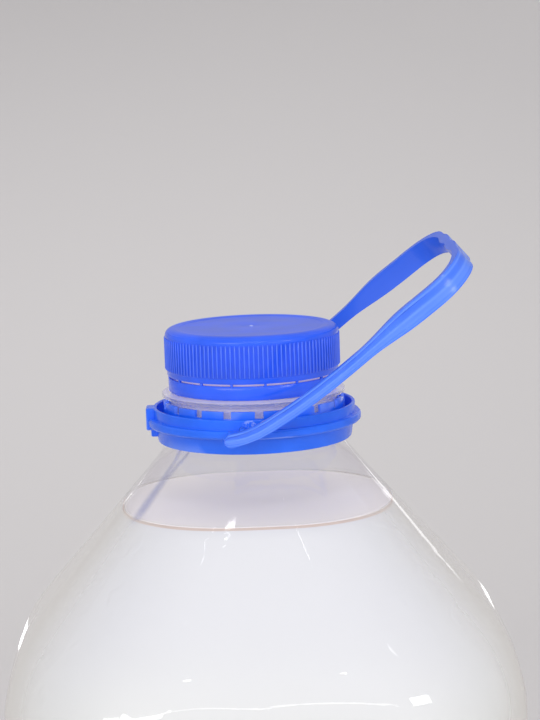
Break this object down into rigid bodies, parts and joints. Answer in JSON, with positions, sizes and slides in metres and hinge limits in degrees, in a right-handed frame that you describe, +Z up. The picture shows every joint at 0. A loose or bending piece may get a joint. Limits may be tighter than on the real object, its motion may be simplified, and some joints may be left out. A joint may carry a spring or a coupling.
{
  "type": "liquid soap jug",
  "caption": "Clear square-shouldered plastic jug of white liquid soap, with a ribbed blue screw cap, a push-on neck ring and a swinging carry handle.",
  "frame": {"origin": "on the floor, at the bottom of the vertical line through the middle of the neck", "axes": "+Z up along the neck, the front face shown in the picture looks along -Y, +X to the side the handle leans over"},
  "size_m": [0.1486, 0.1486, 0.3496],
  "materials": {
    "clear_pet": "clear, glossy, thin blown plastic",
    "soap": "opaque milky white liquid",
    "cap_blue": "satin moulded plastic, ribbed side",
    "ring_blue": "satin moulded plastic",
    "strap_blue": "satin moulded plastic, slightly bent"
  },
  "bodies": {
    "jug": {"bottle": "clear_pet", "liquid": "soap", "cap": "cap_blue", "handle_ring": "ring_blue"},
    "handle": {"handle_bail": "strap_blue"}
  },
  "joints": [
    {"name": "handle_hinge", "type": "hinge", "parent": "jug", "child": "handle", "pos_m": [-0.00635, 0, 0.29885], "axis": [0, -1, 0], "range_deg": [-50, 170]}
  ]
}
